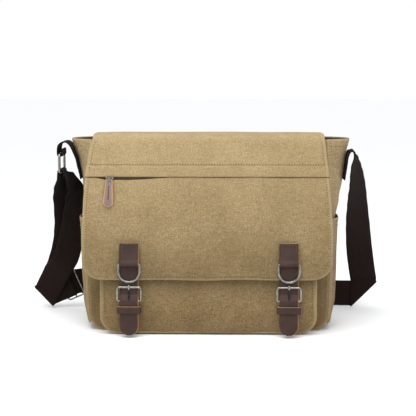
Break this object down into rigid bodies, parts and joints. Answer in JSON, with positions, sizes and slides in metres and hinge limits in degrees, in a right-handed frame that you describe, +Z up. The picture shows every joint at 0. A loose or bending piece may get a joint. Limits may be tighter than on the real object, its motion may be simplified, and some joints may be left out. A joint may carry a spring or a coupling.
{
  "type": "messenger bag",
  "caption": "Canvas messenger bag with a wide front flap, zipped flap pocket, buckled leather closures and a webbing shoulder strap.",
  "frame": {"origin": "centre of the base, on the surface that the bag stands on", "axes": "+X to the right as seen from the front, -Y to the front, +Z up"},
  "size_m": [0.5214, 0.1969, 0.272],
  "materials": {
    "canvas": "washed khaki cotton canvas, matt and mottled",
    "lining": "dark plain-weave lining",
    "leather": "dark brown smooth leather with raw tan edges",
    "webbing": "dark chocolate cotton webbing, matt",
    "metal": "antiqued gunmetal, satin",
    "zip_tape": "dark woven zip tape"
  },
  "bodies": {
    "bag_body": {"front_panel": "canvas", "back_panel": "canvas", "base_panel": "canvas", "right_gusset": "canvas", "left_gusset": "canvas", "right_side_pocket": "canvas", "left_side_pocket": "canvas", "laptop_divider": "lining", "front_pocket_panel": "canvas", "front_pocket_gusset": "canvas", "flap_back_hem": "canvas", "left_strap_tab": "webbing", "right_strap_anchor": "webbing", "left_snap_socket": "metal", "right_snap_socket": "metal"},
    "flap_top": {"flap_top": "canvas"},
    "flap_front": {"flap_yoke": "canvas", "flap_lower": "canvas", "flap_lining": "lining", "zip_tape_upper": "zip_tape", "zip_tape_lower": "zip_tape", "zip_chain": "metal", "zip_start_stop": "metal", "zip_end_stop": "metal", "left_closure_patch": "leather", "left_closure_strap": "leather", "left_strap_backing": "leather", "left_keeper": "leather", "left_snap_stud": "metal", "right_closure_patch": "leather", "right_closure_strap": "leather", "right_strap_backing": "leather", "right_keeper": "leather", "right_snap_stud": "metal"},
    "zip_slider": {"zip_slider": "metal"},
    "zip_pull": {"zip_pull_link": "metal", "zip_pull_tab": "leather"},
    "left_d_ring": {"left_d_ring": "metal"},
    "right_d_ring": {"right_d_ring": "metal"},
    "left_buckle_frame": {"left_buckle_frame": "metal"},
    "right_buckle_frame": {"right_buckle_frame": "metal"},
    "left_buckle_prong": {"left_buckle_prong": "metal"},
    "right_buckle_prong": {"right_buckle_prong": "metal"},
    "shoulder_strap": {"left_tab_loop": "webbing", "strap_ring": "metal", "shoulder_webbing": "webbing", "strap_slide_buckle": "metal"}
  },
  "joints": [
    {"name": "flap_open", "type": "hinge", "parent": "bag_body", "child": "flap_top", "pos_m": [0, 0.049, 0.268], "axis": [-1, 0, 0], "range_deg": [0, 180]},
    {"name": "flap_fold", "type": "hinge", "parent": "flap_top", "child": "flap_front", "pos_m": [0, -0.0433, 0.2712], "axis": [-1, 0, 0], "range_deg": [0, 100]},
    {"name": "zip_slide", "type": "slide", "parent": "flap_front", "child": "zip_slider", "axis": [1, 0, 0], "range_m": [0, 0.272]},
    {"name": "zip_pull_swing", "type": "hinge", "parent": "zip_slider", "child": "zip_pull", "pos_m": [-0.134, -0.05509, 0.21419], "axis": [-1, 0, 0], "range_deg": [0, 150]},
    {"name": "left_d_ring_swing", "type": "hinge", "parent": "flap_front", "child": "left_d_ring", "pos_m": [-0.107, -0.07292, 0.09955], "axis": [-1, 0, 0], "range_deg": [0, 100]},
    {"name": "right_d_ring_swing", "type": "hinge", "parent": "flap_front", "child": "right_d_ring", "pos_m": [0.109, -0.07292, 0.09955], "axis": [-1, 0, 0], "range_deg": [0, 100]},
    {"name": "left_buckle_swing", "type": "hinge", "parent": "flap_front", "child": "left_buckle_frame", "pos_m": [-0.107, -0.07519, 0.0494], "axis": [1, 0, 0], "range_deg": [0, 60]},
    {"name": "right_buckle_swing", "type": "hinge", "parent": "flap_front", "child": "right_buckle_frame", "pos_m": [0.109, -0.07519, 0.0494], "axis": [1, 0, 0], "range_deg": [0, 60]},
    {"name": "left_prong_swing", "type": "hinge", "parent": "left_buckle_frame", "child": "left_buckle_prong", "pos_m": [-0.107, -0.07519, 0.0494], "axis": [1, 0, 0], "range_deg": [0, 40]},
    {"name": "right_prong_swing", "type": "hinge", "parent": "right_buckle_frame", "child": "right_buckle_prong", "pos_m": [0.109, -0.07519, 0.0494], "axis": [1, 0, 0], "range_deg": [0, 40]},
    {"name": "strap_swing", "type": "hinge", "parent": "bag_body", "child": "shoulder_strap", "pos_m": [-0.2, 0, 0.26], "axis": [0.9995, 0, -0.0314], "range_deg": [0, 180]}
  ]
}
